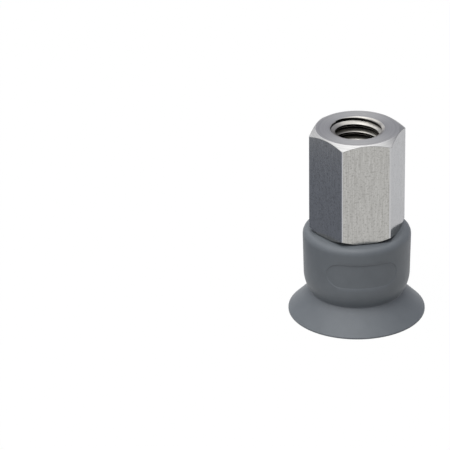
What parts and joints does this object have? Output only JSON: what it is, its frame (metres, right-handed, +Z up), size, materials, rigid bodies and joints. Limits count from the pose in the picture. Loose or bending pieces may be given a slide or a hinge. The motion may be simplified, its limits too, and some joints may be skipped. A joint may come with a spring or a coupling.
{
  "type": "flat vacuum cup",
  "caption": "Small flat suction cup of grey rubber, moulded over a hexagonal metal connection nipple with a female thread for a vacuum line or gripper arm.",
  "frame": {"origin": "centre of the sealing lip's edge, in the plane that touches the workpiece", "axes": "+Z up the cup's axis, from the sealing lip to the threaded end; one flat of the hexagon faces -Y"},
  "size_m": [0.013, 0.013, 0.0189],
  "materials": {
    "cup_rubber": "moulded grey elastomer, satin",
    "nipple_metal": "drawn hexagon bar with turned end faces"
  },
  "bodies": {
    "root": {"vacuum_cup": "cup_rubber", "threaded_nipple": "nipple_metal"}
  },
  "joints": []
}
